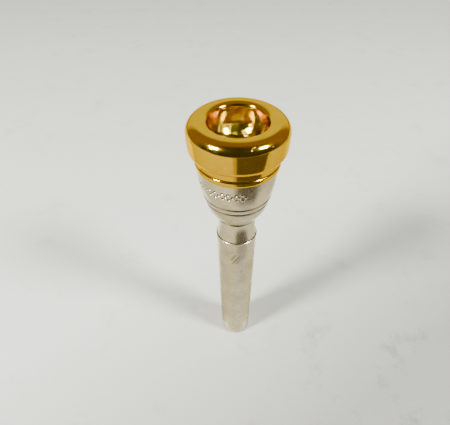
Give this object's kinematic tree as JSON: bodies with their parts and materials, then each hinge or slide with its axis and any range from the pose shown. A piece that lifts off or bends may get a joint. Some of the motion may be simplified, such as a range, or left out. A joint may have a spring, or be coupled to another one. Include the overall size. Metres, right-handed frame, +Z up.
{
  "type": "trumpet mouthpiece",
  "caption": "Trumpet mouthpiece standing on its shank, with a gold plated screw rim, a gold lipped silver plated cup and a tapered silver plated backbore shank.",
  "frame": {"origin": "centre of the end face of the shank's tip", "axes": "+Z up the axis, from the tip to the rim; +X to the right and +Y away, seen from the front"},
  "size_m": [0.027, 0.027, 0.087],
  "materials": {
    "gold_plate": "polished",
    "silver_plate": "satin",
    "seal_rubber": "matte"
  },
  "bodies": {
    "shank": {"backbore_shank": "silver_plate"},
    "shank_seal": {"shank_o_ring": "seal_rubber"},
    "cup": {"cup_body": "silver_plate"},
    "rim_seal": {"rim_o_ring": "seal_rubber"},
    "rim": {"screw_rim": "gold_plate"}
  },
  "joints": [
    {"name": "cup_lift", "type": "slide", "parent": "shank", "child": "shank_seal", "axis": [0, 0, 1], "range_m": [0, 0.00715]},
    {"name": "cup_turn", "type": "hinge", "parent": "shank_seal", "child": "cup", "pos_m": [0, 0, 0.0484], "axis": [0, 0, 1], "range_deg": [0, 3240]},
    {"name": "rim_lift", "type": "slide", "parent": "cup", "child": "rim_seal", "axis": [0, 0, 1], "range_m": [0, 0.00317]},
    {"name": "rim_turn", "type": "hinge", "parent": "rim_seal", "child": "rim", "pos_m": [0, 0, 0.0757], "axis": [0, 0, 1], "range_deg": [0, 1800]}
  ],
  "couplings": [
    {"joint": "cup_turn", "follows": "cup_lift", "rad_per_m": 7913.3},
    {"joint": "rim_turn", "follows": "rim_lift", "rad_per_m": 9894.8}
  ]
}
